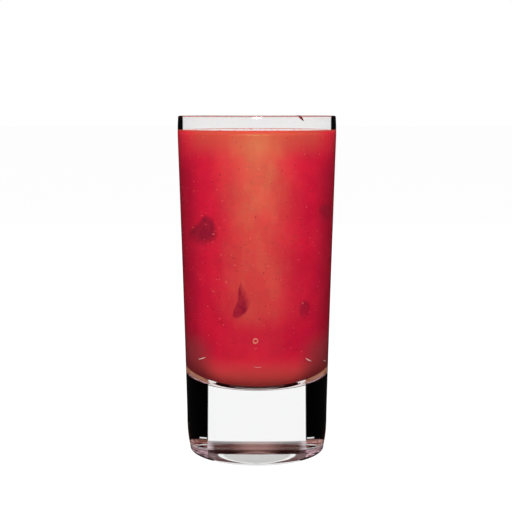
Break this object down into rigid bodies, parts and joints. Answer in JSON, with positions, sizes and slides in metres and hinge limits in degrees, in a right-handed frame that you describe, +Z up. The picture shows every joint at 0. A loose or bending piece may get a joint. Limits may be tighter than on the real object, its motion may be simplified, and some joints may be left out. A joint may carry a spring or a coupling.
{
  "type": "bloody mary in a highball glass",
  "caption": "Tall thick-based tumbler filled nearly to the rim with an opaque red tomato drink.",
  "frame": {"origin": "centre of the foot, on the surface the glass stands on", "axes": "+Z up along the glass's axis; the glass is turned, so X and Y are alike, and -Y faces the viewer of the picture"},
  "size_m": [0.0678, 0.0678, 0.1466],
  "materials": {
    "glass": "clear polished soda-lime glass with a solid base",
    "drink": null
  },
  "bodies": {
    "root": {"glass": "glass", "drink": "drink"}
  },
  "joints": []
}
